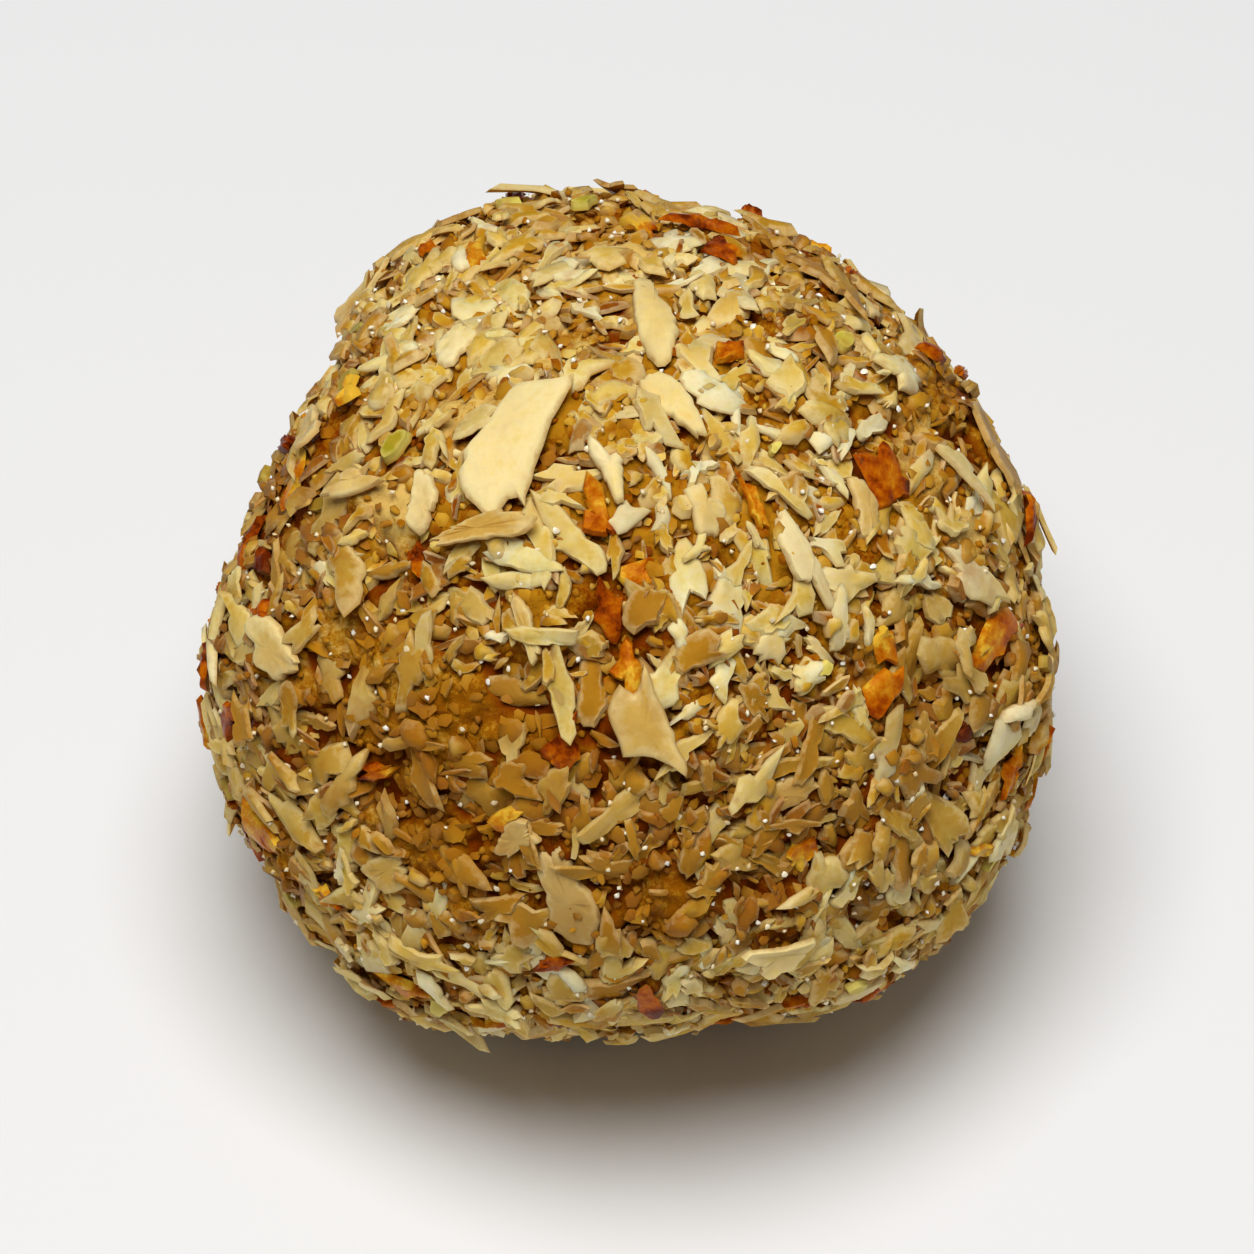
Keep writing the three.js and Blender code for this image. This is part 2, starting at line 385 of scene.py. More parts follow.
def speckle(finish, grain, detail=3.0, roughness=0.55):
    """Noise on the object's own coordinates, whose lumps are about a grain across."""
    coordinates = add_node(finish, "ShaderNodeTexCoord")
    noise = add_node(finish, "ShaderNodeTexNoise")
    noise.inputs["Scale"].default_value = 1 / grain
    noise.inputs["Detail"].default_value = detail
    noise.inputs["Roughness"].default_value = roughness
    feed(finish, coordinates.outputs["Object"], noise.inputs["Vector"])
    return noise.outputs["Fac"]


def arithmetic(finish, operation, *values):
    node = add_node(finish, "ShaderNodeMath", operation=operation)
    for value, socket in zip(values, node.inputs):
        feed(finish, value, socket)
    return node.outputs[0]


def shifted(finish, value, by, amount):
    """A value moved up and down by a noise about its middle, as much as the amount."""
    return arithmetic(finish, "MULTIPLY_ADD", arithmetic(finish, "SUBTRACT", by, 0.5), amount, value)


def stretched(finish, value, low, high, to_low=0.0, to_high=1.0):
    """The value's span from low to high, stretched over another span and clamped to it."""
    node = add_node(finish, "ShaderNodeMapRange")
    for name, number in (("From Min", low), ("From Max", high), ("To Min", to_low), ("To Max", to_high)):
        node.inputs[name].default_value = number
    feed(finish, value, node.inputs["Value"])
    return node.outputs["Result"]


def colour_steps(finish, value, steps):
    """A colour ramp: steps are (place from 0 to 1, linear red, green, blue)."""
    node = add_node(finish, "ShaderNodeValToRGB")
    elements = node.color_ramp.elements
    for _ in range(len(steps) - 2):
        elements.new(0.5)
    for element, (place, *rgb) in zip(elements, steps):
        element.position = place
        element.color = (*rgb, 1)
    feed(finish, value, node.inputs["Fac"])
    return node.outputs["Color"]


def blended(finish, share, first, second):
    """Two colours mixed by a share."""
    node = add_node(finish, "ShaderNodeMix", data_type="RGBA")
    share_socket, first_socket, second_socket = node.inputs[0], node.inputs[6], node.inputs[7]
    feed(finish, share, share_socket)
    feed(finish, first, first_socket)
    feed(finish, second, second_socket)
    return node.outputs[2]


def bumped(finish, shader, height, strength, depth):
    bump = add_node(finish, "ShaderNodeBump")
    bump.inputs["Strength"].default_value = strength
    bump.inputs["Distance"].default_value = depth
    feed(finish, height, bump.inputs["Height"])
    feed(finish, bump.outputs["Normal"], shader.inputs["Normal"])


SYRUP_GLOSS = (1.0, 0.5, 0.12)  # syrup tints what it reflects
PASTE_DARK = (0.18, 0.029, 0.0003)
PASTE_BROWN = (0.28, 0.088, 0.0015)
PASTE_GOLD = (0.42, 0.178, 0.006)
PASTE_BEIGE = (0.52, 0.26, 0.026)
PASTE_PALE = (0.70, 0.46, 0.12)
MOTTLE_GRAIN = 2.4 * MM
FLECK_GRAIN = 0.55 * MM
FLECK_STRENGTH = 2.1
BROWN_SHIFT = -0.5  # how far down the ramps of colour the brown patches and the belt's painted shade go, and up them the crown's painted light


def paste_finish():
    finish, shader = new_finish("date_paste", roughness=0.5, gloss=SYRUP_GLOSS)
    mottle = speckle(finish, MOTTLE_GRAIN, detail=4)
    flecks = speckle(finish, FLECK_GRAIN, detail=5, roughness=0.8)
    brown_and_painted_light = attribute_value(finish, "brown_and_painted_light")
    worked = shifted(finish, shifted(finish, mottle, flecks, FLECK_STRENGTH), brown_and_painted_light, BROWN_SHIFT)
    coat_floor = colour_steps(finish, worked, [
        (0.34, *PASTE_DARK), (0.58, *PASTE_BROWN), (0.84, *PASTE_GOLD)])
    smear = colour_steps(finish, worked, [
        (0.26, *PASTE_BROWN), (0.44, *PASTE_GOLD), (0.62, *PASTE_BEIGE), (0.86, *PASTE_PALE)])
    colour = blended(finish, attribute_value(finish, "bare"), coat_floor, smear)
    # Painted shade: the paste turns to its darkest colour in the pits of the coat.
    pit_shade_share = stretched(finish, attribute_value(finish, "pit_shade"), 0.5, 0.9)
    colour = blended(finish, pit_shade_share, colour, PASTE_DARK)
    feed(finish, colour, shader.inputs["Base Color"])
    feed(finish, stretched(finish, flecks, 0.3, 0.7, 0.36, 0.68), shader.inputs["Roughness"])
    bumped(finish, shader, flecks, strength=0.9, depth=0.14 * MM)
    return finish


paste.data.materials.append(paste_finish())
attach(paste, "root")
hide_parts("ladoo")


# Almond flakes are the largest pieces of the coat: slices of blanched almond, snapped, flat and
# a little curled, which rolling presses on. Here they lie on the crumbs, a little off the paste, and
# the front's highest of all, so that a gap shows under a narrow one that is seen edge-on.
FLAKE_THICKNESS = 0.42 * MM
FRONT_LIFT = 0.72 * MM  # from the paste to the middle of a flake's thickness
LIFT_ELSEWHERE = 0.42 * MM
FRONT_VIEW = 0.45  # cosine from the camera's way within which pieces lie as they show from there
FLAKE_CORNERS = 34
FLAKE_ALLOWANCE = 1.1  # outlines start this much larger, as snapping and tearing take some off
LAID_ROOM = 1.05  # a laid piece keeps its oval clear, with its half sizes' squares times this

# Where the pieces lie: azimuth and height as above, their length and width in millimetres, and the
# angle of the length from the level line, in degrees, seen from outside.
PIECE_COLUMNS = ("azimuth", "height", "length", "width", "turn")
FLAKES = table(PIECE_COLUMNS, [
    (-50, 70, 8.2, 4.6, 105),
    (139, 84, 5.8, 2.2, 140),
    (3, 39, 6.0, 3.2, 110),
    (31, 78, 4.6, 2.2, 100),
    (-51, 57, 3.4, 2.6, 145),
    (-66, 52, 5.0, 1.4, 60),
    (-18, 49, 3.8, 1.6, 115),
    (19, 3, 4.2, 2.6, 175),
    (33, -16, 4.2, 2.6, 165),
    (-7, 14, 6.2, 3.4, 115),
    (118, 74, 3.8, 3.2, 15),
    (23, 64, 3.2, 2.2, 75),
    (59, 52, 3.8, 1.8, 60),
    (39, 52, 6.4, 2.0, 85),
    (-35, 58, 6.2, 1.8, 35),
    (-60, 28, 5.4, 3.0, 20),
    (121, 52, 4.0, 2.2, 15),
    (-100, 68, 3.8, 2.6, 175),
    (163, 58, 6.4, 2.4, 5),
    (-87, 47, 3.4, 3.0, 135),
    (24, 25, 3.4, 1.8, 0),
    (-14, 22, 3.4, 2.0, 35),
    (-33, 8, 5.2, 2.4, 55),
    (-5, 70, 4.2, 1.8, 120),
    (72, 6, 5.6, 3.0, 70),
    (96, 34, 6.4, 3.8, 10),
    (112, -8, 5.0, 3.2, 75),
    (142, 16, 7.0, 4.4, 150),
    (-176, 30, 5.8, 3.4, 35),
    (-162, -4, 6.2, 4.0, 100),
    (-134, 36, 6.6, 3.8, 160),
    (-122, -12, 5.0, 2.8, 50),
    (-84, 8, 5.4, 3.2, 60),
    (160, -20, 4.6, 2.6, 20),
])

# The outlines of the first three flakes, which are the plainest to see: corners in millimetres
# from the flake's seat, with its length along x. The others break at random.
BROAD_SLICE = [(4.1, -1.9), (3.1, -2.3), (1.3, -2.3), (0.0, -2.6), (-1.9, -3.1), (-3.3, -3.5), (-2.9, -2.7),
               (-3.8, -2.6), (-4.9, -2.7), (-4.7, -1.8), (-4.2, -0.4), (-4.0, 0.1), (-2.9, 0.3), (-2.4, 0.9),
               (-0.4, 0.6), (1.8, 0.8), (2.6, 0.8), (3.1, -0.5)]
SLIVER = [(-3.3, -0.6), (-3.5, -0.1), (-3.3, 0.3), (-1.7, 0.5), (0.1, 0.9), (1.8, 1.0), (3.6, 0.2),
          (3.9, -0.2), (3.0, -0.8), (1.6, -1.1), (-0.3, -1.1)]
TORN_SLICE = [(3.0, -1.2), (1.9, -0.5), (1.5, -0.1), (2.5, 0.3), (1.6, 1.4), (0.3, 1.6), (-1.1, 1.6),
              (-1.7, 0.2), (-2.4, -0.4), (-3.4, -1.1), (-1.8, -1.2), (-0.4, -1.3), (1.1, -1.1)]


def as_array(rows, key):
    return np.array([row[key] for row in rows], dtype=float)


def seats(directions, turns, tilts=None):
    """Where rays from the heart leave the paste, and a frame for a piece lying there.

    Returns the places and the length, width and outward axes. Tilts are a pitch and a roll."""
    places, outward = np.empty_like(directions), np.empty_like(directions)
    for index, direction in enumerate(directions):
        way = Vector(direction)
        places[index] = paste_surface.ray_cast(HEART, way)[0]
        outward[index] = form_surface.ray_cast(HEART, way)[1]
    outward *= np.sign((outward * directions).sum(axis=1))[:, None]
    level = np.cross((0.0, 0.0, 1.0), directions)
    level = normalised(level - (level * outward).sum(axis=1)[:, None] * outward)
    rise = np.cross(outward, level)
    length_axis = np.cos(turns)[:, None] * level + np.sin(turns)[:, None] * rise
    if tilts is not None:
        width_axis = np.cross(outward, length_axis)
        outward = normalised(outward - tilts[:, :1] * width_axis + tilts[:, 1:] * length_axis)
        length_axis = normalised(length_axis - (length_axis * outward).sum(axis=1)[:, None] * outward)
    width_axis = np.cross(outward, length_axis)
    return places, length_axis, width_axis, outward


CORNER_STRAY = 0.32  # how unevenly the corners are spaced
SNAP_REACH = (0.45, 1.1)  # how far from the middle an oval is snapped off, over its half size
BITE_DEPTH = 0.55
BITE_EDGE = 0.72  # cosine of a bite's half angle


def torn_outlines(draw, length, width, corners, snaps=3, bites=1, tear=0.4, lobes=0.0):
    """Outlines about the origin, longest along x, as x and y of each corner.

    An oval waves in and out in lobes, is snapped straight on a few sides, bitten hollow on some
    and torn into small teeth."""
    count = len(length)
    stray = draw.uniform(-CORNER_STRAY, CORNER_STRAY, (count, corners))
    angle = (np.arange(corners) + stray) * 2 * math.pi / corners
    reach = np.ones((count, corners))
    for waves in (2, 3, 4, 5):
        depth = lobes * draw.random((count, 1))
        reach *= 1 + depth * np.cos(waves * angle + draw.uniform(0, 2 * math.pi, (count, 1)))
    for _ in range(snaps):
        facing = np.cos(angle - draw.uniform(0, 2 * math.pi, (count, 1)))
        reach = np.minimum(reach, draw.uniform(*SNAP_REACH, (count, 1)) / np.maximum(facing, 0.2))
    for _ in range(bites):
        facing = np.cos(angle - draw.uniform(0, 2 * math.pi, (count, 1)))
        hollow = np.clip((facing - BITE_EDGE) / (1 - BITE_EDGE), 0, 1)
        reach *= 1 - draw.uniform(0.0, BITE_DEPTH, (count, 1)) * hollow
    reach *= 1 - tear * draw.random((count, corners)) ** 3
    return 0.5 * length[:, None] * reach * np.cos(angle), 0.5 * width[:, None] * reach * np.sin(angle)


def snapped_outline(points, corners, draw, roughness=0.05 * MM):
    """One outline through given points, with corners spread evenly along it and a little rough."""
    loop = np.array(points + points[:1]) * MM
    along = np.concatenate([[0], np.cumsum(np.linalg.norm(np.diff(loop, axis=0), axis=1))])
    stations = np.linspace(0, along[-1], corners, endpoint=False)
    outline = np.stack([np.interp(stations, along, loop[:, axis]) for axis in (0, 1)])
    return outline + roughness * draw.normal(size=outline.shape)


def as_column(values, count):
    return np.broadcast_to(values, (count,))[:, None]


STRAY_LIMIT = 1.6  # the most that a curl or a tilt strays, over its usual spread
BALL_RADIUS = 24 * MM  # about which the pieces bend


def held_stray(draw, size):
    return np.clip(draw.normal(size=size), -STRAY_LIMIT, STRAY_LIMIT)


def curled(x, y, z, curl, draw):
    """Bends and twists each piece: it follows the ball, and has a curl of its own besides.

    The curl is how steep its ends come to be, in radians."""
    ball_bend = 0.5 / BALL_RADIUS
    half_length = np.abs(x).max(axis=1, keepdims=True)
    half_width = np.abs(y).max(axis=1, keepdims=True)
    along, across, twist = curl * held_stray(draw, (3, len(x), 1))
    bent = ball_bend * (x ** 2 + y ** 2) + along * x ** 2 / (2 * half_length)
    return z - bent - across * y ** 2 / (2 * half_width) + twist * x * y / half_length


STAND_OUT = 0.45 * MM  # how far a piece may stand out of the solid's box
STAND_OUT_GIVE = 0.25  # the share that is left of what stands out further
FLUSH_LOW, FLUSH_HIGH = 0.03 * PASTE_BASE, 0.45 * PASTE_BASE  # where pieces beneath come to lie
ROOT_RADIUS = 23 * MM  # the ball's, where the coat is rooted
SHADING_DRIFT = 0.4  # how much a piece's tone may change along it, as painted shading from one end to the other


def joined_mesh(name, seat, x, y, z, faces, draw):
    """One mesh of a like piece at each seat. What would stand out too far is pressed in, and a piece
    that would hang below the base is pushed up until it is flush with it."""
    places, length_axis, width_axis, outward = seat
    cloud = places[:, None] + x[..., None] * length_axis[:, None] + y[..., None] * width_axis[:, None]
    cloud += z[..., None] * outward[:, None]
    pressed_in = np.clip(cloud, np.array(cad_box[0]) - STAND_OUT, np.array(cad_box[1]) + STAND_OUT)
    cloud = pressed_in + STAND_OUT_GIVE * (cloud - pressed_in)
    flush = draw.uniform(FLUSH_LOW, FLUSH_HIGH, (len(cloud), 1))
    cloud[..., 2] += np.maximum(flush - cloud[..., 2].min(axis=1, keepdims=True), 0)
    per_piece = cloud.shape[1]
    joined = [tuple(index + start for index in face)
              for start in range(0, len(cloud) * per_piece, per_piece) for face in faces]
    mesh = bpy.data.meshes.new(name)
    mesh.from_pydata(cloud.reshape(-1, 3).tolist(), [], joined)
    mesh.update()
    piece = add_object(name, mesh)
    toward = normalised(places - np.array(HEART))
    offset = cloud - places[:, None]
    fall = 0.5 * (offset ** 2).sum(axis=2) / ROOT_RADIUS
    height = (offset * toward[:, None]).sum(axis=2) + fall
    # Painted shading: each piece is lighter towards one end and darker towards the other.
    shading_drift = draw.uniform(-SHADING_DRIFT, SHADING_DRIFT, (len(cloud), 1)) * x / np.abs(x).max(axis=1, keepdims=True)
    store(piece, "tone", draw.random((len(cloud), 1)) + shading_drift)
    store(piece, "hue", np.repeat(draw.random(len(cloud)), per_piece))
    store(piece, "bare", np.repeat(bareness(toward), per_piece))
    store(piece, "brown_and_painted_light", np.repeat(brownness_and_painted_light(toward), per_piece))
    # How low each point lies in the coat: the finishes paint low points with paste colour, partly as paste
    # smear and partly as painted shade.
    store(piece, "sunk", np.clip(0.5 - height / COAT_DEPTH, 0, 1))
    return piece


EDGE_HEIGHT = 0.8  # of a shard's rounded edges, over its half thickness
SHARD_SHARP = 58  # degrees: edges that turn by more than this stay sharp


def shards(name, seat, outline, thickness, lift, curl, seed, rings=(), ruffle=0.0, bevel=0.86, cup=0.0):
    """One mesh of closed, thin shards, one at each seat.

    The top is meshed at the bevel's share of the outline, then at the rings' shares, inwards. The
    side slopes out to the whole outline, and the underside is one face. A cup hollows some tops
    and crowns others."""
    edge_x, edge_y = outline
    count, corners = edge_x.shape
    draw = np.random.default_rng(seed)
    half = 0.5 * as_column(thickness, count)
    shares = [1.0, bevel, *rings]
    heights = [-EDGE_HEIGHT, EDGE_HEIGHT] + [1.0] * len(rings)
    middle, all_round = np.zeros((count, 1)), np.ones((count, corners))
    x, y, rim = (np.hstack([edge * share for share in shares] + [middle])
                 for edge in (edge_x, edge_y, all_round))
    z = np.hstack([half * height * all_round for height in heights] + [half])
    z += ruffle * draw.normal(size=z.shape) + cup * draw.normal(size=(count, 1)) * (rim ** 2 - 0.5)
    z = curled(x, y, z, curl, draw) + as_column(lift, count)
    crown = corners * len(shares)
    faces = [tuple(reversed(range(corners)))]
    last = crown - corners
    for near in range(corners):
        far = (near + 1) % corners
        for outer in range(0, last, corners):
            inner = outer + corners
            faces.append((outer + near, outer + far, inner + far, inner + near))
        faces.append((last + near, last + far, crown))
    piece = joined_mesh(name, seat, x, y, z, faces, draw)
    store(piece, "rim", rim)
    smooth_by_angle(piece, SHARD_SHARP)
    return piece


YELLOW_NUT = (0.64, 0.37, 0.028)
YELLOW_SHARE = 0.5
GREY_NUT = (0.42, 0.26, 0.065)
GREY_SHARE = 0.45
HONEY = (0.38, 0.140, 0.0025)  # date syrup that has soaked into the nuts
HONEY_SHARE = 0.5
STAIN = (0.30, 0.125, 0.016)  # where the mixture is browner, the nuts are too, and they take it under the belt's painted shade as well
STAIN_SHARE = 0.6
STAIN_SPARES = 0.8  # how much less of it a light piece takes than a dark one
MEAN_TONE = 0.5
TONE_GRAIN, TONE_BLOTCH = 0.6, 0.8  # how far grain and blotches move a piece's tone
YELLOW_HUES, GREY_HUES = 0.6, 0.4  # over the first of these a piece turns yellow, under the other grey
SMEAR_BLOTCH = 1.8  # how blotchy the paste is that is smeared over the nuts
SMEAR_SPAN = (0.25, 0.7)
SOAK_SPAN = (0.5, 0.66)
SIDE_SPAN = (0.93, 1.0)
TOP_EDGE_SPAN = (0.5, 1.0)
NUT_BROWN_SHIFT = -0.28  # how far down the ramp of colour the brown patches and the belt's painted shade go, and up it the crown's painted light
BROWN_HIGHLIGHT_FADE = -0.25
RIM_HIGHLIGHT_SHARE = 0.55
SIDE_SHARE = 0.6
NUT_GRAIN = 0.45 * MM
BLOTCH_GRAIN = 1.6 * MM
SOAK_GRAIN = 3.6 * MM


def nut_finish(name, steps, smear, roughness=0.5, subsurface=0.0, rim_highlight=(0.82, 0.68, 0.35), honey=1.0):
    """Cut nut, each piece in its own tone: its top edge is paler, as a painted highlight, its sides and
    roots take the paste's colour, partly as paste stain and partly as painted shade, and syrup has soaked
    into it in blotches. Some pieces are yellower or greyer."""
    finish, shader = new_finish(
        name, roughness=roughness, subsurface=subsurface, reach=0.6 * MM, gloss=SYRUP_GLOSS)
    grain = speckle(finish, NUT_GRAIN, detail=3)
    blotch = speckle(finish, BLOTCH_GRAIN, detail=4)
    soak = speckle(finish, SOAK_GRAIN, detail=5, roughness=0.62)
    rim, bare, brown_and_painted_light, tone = (
        attribute_value(finish, quality) for quality in ("rim", "bare", "brown_and_painted_light", "tone"))
    worked = shifted(finish, shifted(finish, tone, grain, TONE_GRAIN), blotch, TONE_BLOTCH)
    worked = arithmetic(finish, "MULTIPLY_ADD", brown_and_painted_light, NUT_BROWN_SHIFT, worked)
    colour = colour_steps(finish, worked, steps)
    hue = shifted(finish, attribute_value(finish, "hue"), blotch, 0.6)
    yellow = stretched(finish, hue, YELLOW_HUES, 1.0, 0, YELLOW_SHARE)
    colour = blended(finish, yellow, colour, YELLOW_NUT)
    grey = stretched(finish, hue, GREY_HUES, 0.0, 0, GREY_SHARE)
    colour = blended(finish, grey, colour, GREY_NUT)
    stained = arithmetic(finish, "MULTIPLY_ADD", tone, -STAIN_SPARES, shifted(finish, brown_and_painted_light, blotch, 0.5))
    spared = MEAN_TONE * STAIN_SPARES
    stain = stretched(finish, stained, -spared, 1 - spared, 0, STAIN_SHARE)
    colour = blended(finish, stain, colour, STAIN)
    # Painted highlight: each piece's top edge is painted paler, less so where the coat is brown.
    edge = arithmetic(finish, "MULTIPLY_ADD", brown_and_painted_light, BROWN_HIGHLIGHT_FADE, shifted(finish, rim, grain, 0.9))
    edge_highlight = stretched(finish, edge, *TOP_EDGE_SPAN, 0, RIM_HIGHLIGHT_SHARE)
    colour = blended(finish, edge_highlight, colour, rim_highlight)
    soaked = stretched(finish, shifted(finish, soak, grain, 0.3), *SOAK_SPAN, 0, honey * HONEY_SHARE)
    colour = blended(finish, soaked, colour, HONEY)
    paste_colour = blended(finish, shifted(finish, bare, brown_and_painted_light, -0.8), PASTE_BROWN, PASTE_GOLD)
    # Paste colour over the nut: real smear where the paste is bare, and painted shade on the low points of
    # each piece.
    smear_and_root_shade = arithmetic(finish, "MULTIPLY_ADD", bare, 0.4, attribute_value(finish, "sunk"))
    smeared_and_shaded = stretched(finish, shifted(finish, smear_and_root_shade, blotch, SMEAR_BLOTCH), *SMEAR_SPAN, 0, smear)
    colour = blended(finish, smeared_and_shaded, colour, paste_colour)
    # The sides take paste gold, partly as paste stain and partly as painted shade under the top edge.
    side_stain_and_shade = stretched(finish, shifted(finish, rim, grain, 0.12), *SIDE_SPAN, 0, SIDE_SHARE)
    colour = blended(finish, side_stain_and_shade, colour, PASTE_GOLD)
    feed(finish, colour, shader.inputs["Base Color"])
    bumped(finish, shader, grain, strength=0.5, depth=0.08 * MM)
    return finish


def coat(piece, finish, stands_for_solid=False):
    """The piece takes its finish, and is stuck to the paste."""
    piece.data.materials.append(finish)
    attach(piece, "root")
    if stands_for_solid:
        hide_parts("ladoo")


laid = []  # for each kind laid one by one: the middles, and the two axes, each over its half size


def lay(seat, outline, margin=0.0):
    """Keeps room for pieces that are laid one by one, so that the strewn ones lie round them."""
    middles, axes = seat[0].copy(), []
    for axis, edge in zip(seat[1:3], outline):
        low, high = edge.min(axis=1)[:, None], edge.max(axis=1)[:, None]
        middles += 0.5 * (low + high) * axis
        axes.append(axis / (0.5 * (high - low) + margin))
    laid.append((middles, *axes))


def covered(directions):
    """Whether each direction meets a piece that is laid already."""
    hidden = np.zeros(len(directions), dtype=bool)
    for middles, along, across in laid:
        for middle, x_axis, y_axis in zip(middles, along, across):
            way = middle - np.array(HEART)
            offset = directions * np.linalg.norm(way) - way
            inside = (offset @ x_axis) ** 2 + (offset @ y_axis) ** 2 < LAID_ROOM
            hidden |= inside & (directions @ way > 0)
    return hidden


flake_draw = np.random.default_rng(20)
flake_lengths = as_array(FLAKES, "length") * MM
flake_widths = as_array(FLAKES, "width") * MM
flake_x, flake_y = torn_outlines(
    flake_draw, FLAKE_ALLOWANCE * flake_lengths, FLAKE_ALLOWANCE * flake_widths, FLAKE_CORNERS,
    snaps=4, bites=2, tear=0.22)
for index, points in enumerate((BROAD_SLICE, SLIVER, TORN_SLICE)):
    flake_x[index], flake_y[index] = snapped_outline(points, FLAKE_CORNERS, flake_draw)
flake_directions = towards(as_array(FLAKES, "azimuth"), as_array(FLAKES, "height"))
flake_seats = seats(flake_directions, np.radians(as_array(FLAKES, "turn")))
lay(flake_seats, (flake_x, flake_y))
almond_flakes = shards(
    "almond_flakes", flake_seats, (flake_x, flake_y), thickness=FLAKE_THICKNESS,
    lift=np.where(flake_directions @ np.array(camera_way) > FRONT_VIEW, FRONT_LIFT, LIFT_ELSEWHERE),
    curl=0.18, seed=21, rings=(0.8, 0.45), ruffle=0.03 * MM, bevel=0.92, cup=0.12 * MM)
coat(almond_flakes, nut_finish("almond", [
    (0.0, 0.70, 0.45, 0.110), (0.5, 0.79, 0.60, 0.22), (1.0, 0.86, 0.72, 0.39)],
    smear=0.4, roughness=0.42, subsurface=0.25, honey=0.35), stands_for_solid=True)


# Dried fruit and almond skin: amber to red-brown slivers, torn, a little moist and translucent,
# which are mixed into the nuts. The front's are placed where they show, and the rest lie all round.
FRUIT = table(PIECE_COLUMNS, [
    (-3, 52, 2.5, 1.5, 110),
    (1, 45, 3.0, 2.0, 80),
    (68, 52, 3.6, 2.6, 65),
    (64, 25, 5.3, 2.1, 165),
    (-66, 10, 3.0, 1.6, 55),
    (-82, 43, 3.1, 1.4, 145),
    (4, 57, 2.3, 1.5, 15),
    (-46, 51, 2.0, 1.5, 115),
    (-8, 64, 4.4, 1.3, 130),
    (35, 61, 3.7, 0.9, 80),
    (44, 32, 4.0, 2.1, 50),
    (-9, 35, 2.8, 1.7, 65),
    (-16, 24, 2.5, 1.6, 25),
    (-141, 57, 3.5, 1.2, 50),
    (-38, 22, 2.6, 0.9, 40),
    (-31, -15, 5.2, 1.7, 20),
    (131, 44, 2.6, 2.5, 5),
    (116, 39, 3.0, 2.5, 150),
    (62, 4, 3.3, 1.5, 65),
    (-65, 29, 1.7, 1.2, 150),
    (24, 15, 2.0, 1.7, 40),
    (3, -2, 3.0, 1.2, 95),
    (-91, 53, 1.5, 1.7, 110),
    (47, 38, 2.3, 1.6, 70),
    (149, 65, 2.6, 1.5, 170),
    (26, 44, 2.1, 0.7, 120),
    (-75, 31, 2.3, 1.2, 170),
    (-9, 3, 2.3, 1.1, 35),
    (82, 77, 2.1, 1.4, 155),
    (55, 18, 1.5, 1.7, 50),
])
FRUIT_ALLOWANCE = 1.3
FRUIT_ELSEWHERE = {"count": 190, "length": (1.2, 4.0), "slenderness": (0.25, 0.6)}
GOLDEN_ANGLE = math.pi * (3 - math.sqrt(5))
JITTER = 0.9  # how far strewn pieces stray from an even spread, over their distance apart


def even_directions(count):
    """Evenly spread directions by the golden angle, from the top to the bottom."""
    index = np.arange(count)
    sine = 1 - (2 * index + 1) / count
    cosine = np.sqrt(1 - sine ** 2)
    azimuth = index * GOLDEN_ANGLE
    return np.stack([np.sin(azimuth) * cosine, -np.cos(azimuth) * cosine, sine], axis=-1)


def scattered(count, seed, spread_bare, beneath=False):
    """Directions of a dense coat: even, then jittered, and thinned where the paste is bare.

    Only small pieces may lie beneath those laid one by one."""
    draw = np.random.default_rng(seed)
    directions = even_directions(count)
    jitter = JITTER * math.sqrt(4 * math.pi / count)
    directions = normalised(directions + jitter * draw.uniform(-0.5, 0.5, (count, 3)))
    bare = bareness(directions)
    keep = draw.random(count) > bare * (1 - spread_bare)
    if not beneath:
        keep &= ~covered(directions)
    return directions[keep], draw


def within(span, share):
    low, high = span
    return low + (high - low) * share


def placed_and_strewn(placed, strewn, seed):
    """Seats, lengths and widths of the placed pieces and of those strewn away from the front, and
    the draw that they were made by."""
    directions, draw = scattered(strewn["count"], seed, spread_bare=0.6)
    directions = directions[directions @ np.array(camera_way) < FRONT_VIEW]
    count = len(directions)
    lengths = within(strewn["length"], draw.random(count) ** 1.3)
    widths = lengths * within(strewn["slenderness"], draw.random(count))
    chosen = towards(as_array(placed, "azimuth"), as_array(placed, "height"))
    directions = np.concatenate([chosen, directions])
    turns = np.concatenate([np.radians(as_array(placed, "turn")), draw.uniform(0, math.pi, count)])
    lengths = np.concatenate([as_array(placed, "length"), lengths]) * MM
    widths = np.concatenate([as_array(placed, "width"), widths]) * MM
    return seats(directions, turns), lengths, widths, draw


def fruit_finish():
    finish, shader = new_finish(
        "dried_fruit", roughness=0.34, subsurface=0.1, reach=0.5 * MM, specular=0.16, gloss=SYRUP_GLOSS)
    mottle = speckle(finish, 1.3 * MM, detail=4, roughness=0.65)
    worked = shifted(finish, attribute_value(finish, "tone"), mottle, 2.6)
    colour = colour_steps(finish, worked, [
        (0.0, 0.11, 0.012, 0.0006), (0.25, 0.30, 0.045, 0.0008), (0.55, 0.48, 0.115, 0.0015),
        (0.85, 0.60, 0.235, 0.008), (1.0, 0.70, 0.40, 0.03)])
    feed(finish, colour, shader.inputs["Base Color"])
    bumped(finish, shader, speckle(finish, 0.4 * MM), strength=0.5, depth=0.1 * MM)
    return finish


fruit_seats, fruit_lengths, fruit_widths, fruit_draw = placed_and_strewn(FRUIT, FRUIT_ELSEWHERE, seed=80)
fruit_outlines = torn_outlines(
    fruit_draw, FRUIT_ALLOWANCE * fruit_lengths, FRUIT_ALLOWANCE * fruit_widths, corners=16, bites=2,
    tear=0.5, lobes=0.22)
lay(fruit_seats, fruit_outlines, margin=0.1 * MM)
fruit_slivers = shards(
    "fruit_slivers", fruit_seats, fruit_outlines, thickness=0.45 * MM, lift=0.64 * MM, curl=0.25,
    seed=81, rings=(0.5,), ruffle=0.07 * MM)
coat(fruit_slivers, fruit_finish())


